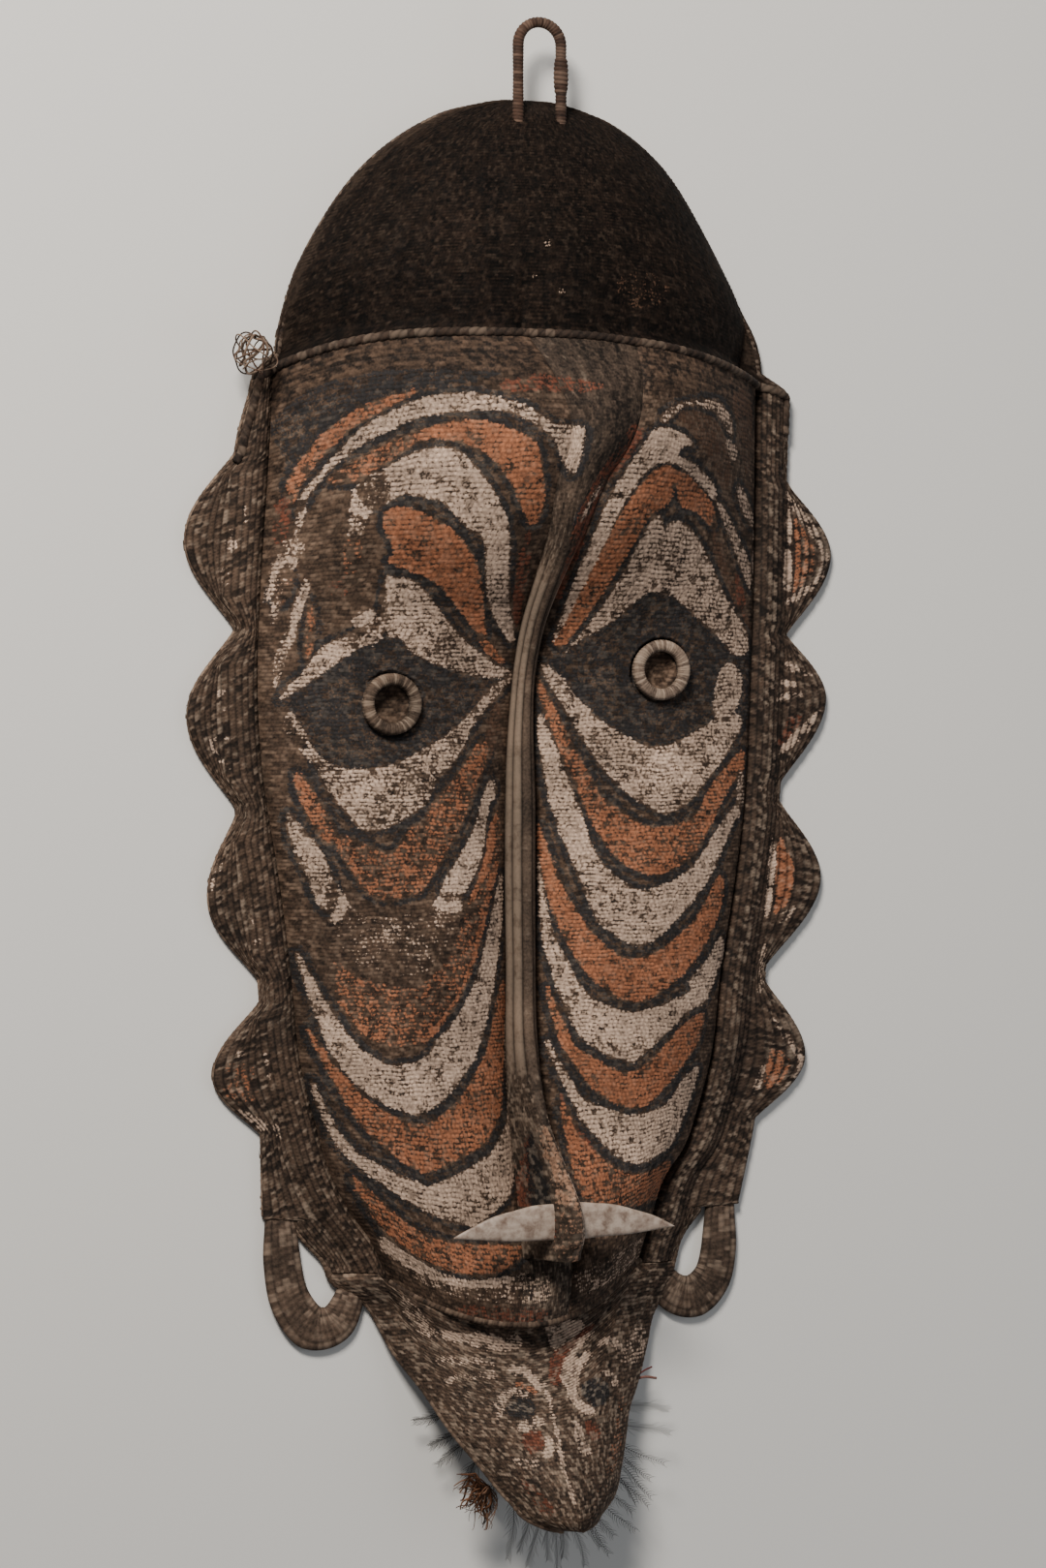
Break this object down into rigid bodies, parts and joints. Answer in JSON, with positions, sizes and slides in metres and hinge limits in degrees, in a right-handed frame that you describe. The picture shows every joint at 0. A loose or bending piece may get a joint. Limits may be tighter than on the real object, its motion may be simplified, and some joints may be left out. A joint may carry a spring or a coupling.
{
  "type": "woven sepik mask",
  "caption": "Hollow plaited cane face mask with a domed hood, scalloped side flanges, ringed eyes, a pierced nose ridge, a jutting chin and a cord loop to hang it by.",
  "frame": {"origin": "middle of the mask's width and height, on the plane its back rim rests on", "axes": "+X towards the viewer's right, +Y up the mask from chin to hanging loop, +Z out of the face; the mask lies on its back"},
  "size_m": [0.4794, 1.0752, 0.1151],
  "materials": {
    "painted_cane": "plaited split cane under worn white, ochre and charcoal clay paint, matt and dusty",
    "wrapped_cord": "reddish brown plant fibre cord, tightly wrapped, matt",
    "cane_ring": "pale grey beige cane, rubbed, matt",
    "worn_shell": "off-white shell with brown stains, softly polished",
    "dry_vine": "dry brown vine, matt",
    "rusty_fibre": "rust coloured dry bark fibre, matt",
    "dark_plumes": "nearly black cassowary plumes, soft sheen"
  },
  "bodies": {
    "root": {"woven_body": "painted_cane", "hanging_loop": "wrapped_cord", "eye_ring_left": "cane_ring", "eye_ring_right": "cane_ring", "nose_bar": "worn_shell", "vine_tangle": "dry_vine", "fibre_tuft": "rusty_fibre", "plume_fringe": "dark_plumes"}
  },
  "joints": []
}
